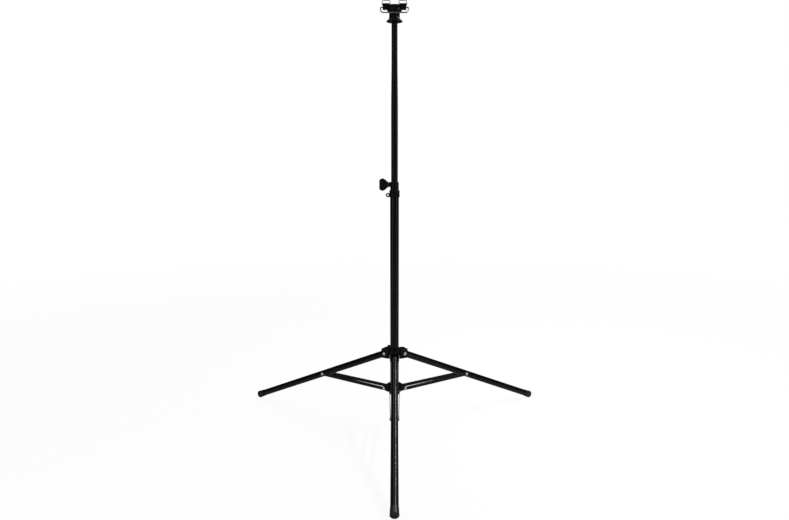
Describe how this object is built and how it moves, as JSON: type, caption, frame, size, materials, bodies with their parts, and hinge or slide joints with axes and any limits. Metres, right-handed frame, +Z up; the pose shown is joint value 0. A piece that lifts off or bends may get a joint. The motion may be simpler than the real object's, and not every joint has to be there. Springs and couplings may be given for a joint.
{
  "type": "tripod stand",
  "caption": "Black telescopic light stand: round-tube tripod with paired flat struts, wing-screw mast clamp, and a small cradle head with bell-shaped nut and wire bails.",
  "frame": {"origin": "point on the floor straight below the axis of the column", "axes": "+Z up along the column; -Y towards the front leg; +X towards the right leg, with the clamp wing at -X"},
  "size_m": [0.92, 0.7995, 1.2205],
  "materials": {
    "column_black": "satin black powder coat on steel tube",
    "leg_black": "semi-gloss black paint on steel tube",
    "strut_black": "black paint on flat steel strip",
    "moulded_black": "fine-grained moulded nylon",
    "wing_black": "satin moulded plastic",
    "nylon_grey": "natural nylon",
    "shoe_brass": "turned brass",
    "screw_steel": "zinc-plated steel",
    "rivet_steel": "bright nickel-plated steel",
    "bail_wire": "bright drawn spring wire",
    "foot_rubber": "matt moulded rubber"
  },
  "bodies": {
    "column": {"lower_tube": "column_black", "column_plug": "moulded_black", "clamp_collar": "moulded_black", "clamp_shoe": "shoe_brass", "lower_hub": "moulded_black", "strut_pivot_rivets": "rivet_steel"},
    "mast_bush": {"mast_bush": "nylon_grey"},
    "mast": {"upper_tube": "column_black", "mast_end_plug": "moulded_black"},
    "head": {"head_body": "moulded_black", "cradle_block_left": "moulded_black", "cradle_block_right": "moulded_black", "cradle_screws": "screw_steel"},
    "bell_nut": {"bell_nut": "moulded_black"},
    "front_bail": {"front_bail": "bail_wire"},
    "top_bail_left": {"top_bail_left": "bail_wire"},
    "top_bail_right": {"top_bail_right": "bail_wire"},
    "clamp_knob": {"clamp_screw": "screw_steel", "clamp_wing": "wing_black"},
    "leg_hub": {"upper_hub": "moulded_black", "leg_pivot_rivets": "rivet_steel", "hub_shoe": "shoe_brass"},
    "hub_knob": {"hub_screw": "screw_steel", "hub_wing": "wing_black"},
    "leg_front": {"leg_tube_front": "leg_black", "leg_plug_front": "moulded_black", "strut_pin_front": "rivet_steel", "foot_cap_front": "foot_rubber"},
    "strut_front": {"strut_strips_front": "strut_black", "strut_rivets_front": "rivet_steel"},
    "leg_right": {"leg_tube_right": "leg_black", "leg_plug_right": "moulded_black", "strut_pin_right": "rivet_steel", "foot_cap_right": "foot_rubber"},
    "strut_right": {"strut_strips_right": "strut_black", "strut_rivets_right": "rivet_steel"},
    "leg_left": {"leg_tube_left": "leg_black", "leg_plug_left": "moulded_black", "strut_pin_left": "rivet_steel", "foot_cap_left": "foot_rubber"},
    "strut_left": {"strut_strips_left": "strut_black", "strut_rivets_left": "rivet_steel"}
  },
  "joints": [
    {"name": "mast_slide", "type": "slide", "parent": "column", "child": "mast_bush", "axis": [0, 0, 1], "range_m": [-0.428, 0.08]},
    {"name": "mast_turn", "type": "hinge", "parent": "mast_bush", "child": "mast", "pos_m": [0, 0, 0.552], "axis": [0, 0, 1], "continuous": true},
    {"name": "head_turn", "type": "hinge", "parent": "mast", "child": "head", "pos_m": [0, 0, 1.192], "axis": [0, 0, 1], "continuous": true},
    {"name": "bell_turn", "type": "hinge", "parent": "head", "child": "bell_nut", "pos_m": [0, 0, 1.177], "axis": [0, 0, -1], "range_deg": [0, 540]},
    {"name": "front_bail_swing", "type": "hinge", "parent": "head", "child": "front_bail", "pos_m": [0, 0, 1.2015], "axis": [-1, 0, 0], "range_deg": [0, 262]},
    {"name": "top_bail_left_swing", "type": "hinge", "parent": "head", "child": "top_bail_left", "pos_m": [0, 0, 1.207], "axis": [1, 0, 0], "range_deg": [-90, 90]},
    {"name": "top_bail_right_swing", "type": "hinge", "parent": "head", "child": "top_bail_right", "pos_m": [0, 0, 1.207], "axis": [1, 0, 0], "range_deg": [-90, 90]},
    {"name": "clamp_screw_turn", "type": "hinge", "parent": "column", "child": "clamp_knob", "pos_m": [-0.0176, 0, 0.721], "axis": [-1, 0, 0], "range_deg": [0, 540]},
    {"name": "hub_slide", "type": "slide", "parent": "column", "child": "leg_hub", "axis": [0, 0, 1], "range_m": [0, 0.36715]},
    {"name": "hub_screw_turn", "type": "hinge", "parent": "leg_hub", "child": "hub_knob", "pos_m": [0, 0.0193, 0.231], "axis": [0, 1, 0], "range_deg": [0, 540]},
    {"name": "leg_front_hinge", "type": "hinge", "parent": "leg_hub", "child": "leg_front", "pos_m": [0, -0.02836, 0.226], "axis": [1, 0, 0], "range_deg": [0, 64.33]},
    {"name": "strut_front_hinge", "type": "hinge", "parent": "column", "child": "strut_front", "pos_m": [0, -0.02836, 0.12], "axis": [-1, 0, 0], "range_deg": [0, 85.88]},
    {"name": "leg_right_hinge", "type": "hinge", "parent": "leg_hub", "child": "leg_right", "pos_m": [0.02456, 0.01418, 0.226], "axis": [-0.5, 0.866, 0], "range_deg": [0, 64.33]},
    {"name": "strut_right_hinge", "type": "hinge", "parent": "column", "child": "strut_right", "pos_m": [0.02456, 0.01418, 0.12], "axis": [0.5, -0.866, 0], "range_deg": [0, 85.88]},
    {"name": "leg_left_hinge", "type": "hinge", "parent": "leg_hub", "child": "leg_left", "pos_m": [-0.02456, 0.01418, 0.226], "axis": [-0.5, -0.866, 0], "range_deg": [0, 64.33]},
    {"name": "strut_left_hinge", "type": "hinge", "parent": "column", "child": "strut_left", "pos_m": [-0.02456, 0.01418, 0.12], "axis": [0.5, 0.866, 0], "range_deg": [0, 85.88]}
  ],
  "couplings": [
    {"joint": "leg_front_hinge", "follows": "hub_slide", "rad_per_m": 3.0579},
    {"joint": "strut_front_hinge", "follows": "hub_slide", "rad_per_m": 4.0827},
    {"joint": "leg_right_hinge", "follows": "hub_slide", "rad_per_m": 3.0579},
    {"joint": "strut_right_hinge", "follows": "hub_slide", "rad_per_m": 4.0827},
    {"joint": "leg_left_hinge", "follows": "hub_slide", "rad_per_m": 3.0579},
    {"joint": "strut_left_hinge", "follows": "hub_slide", "rad_per_m": 4.0827}
  ]
}
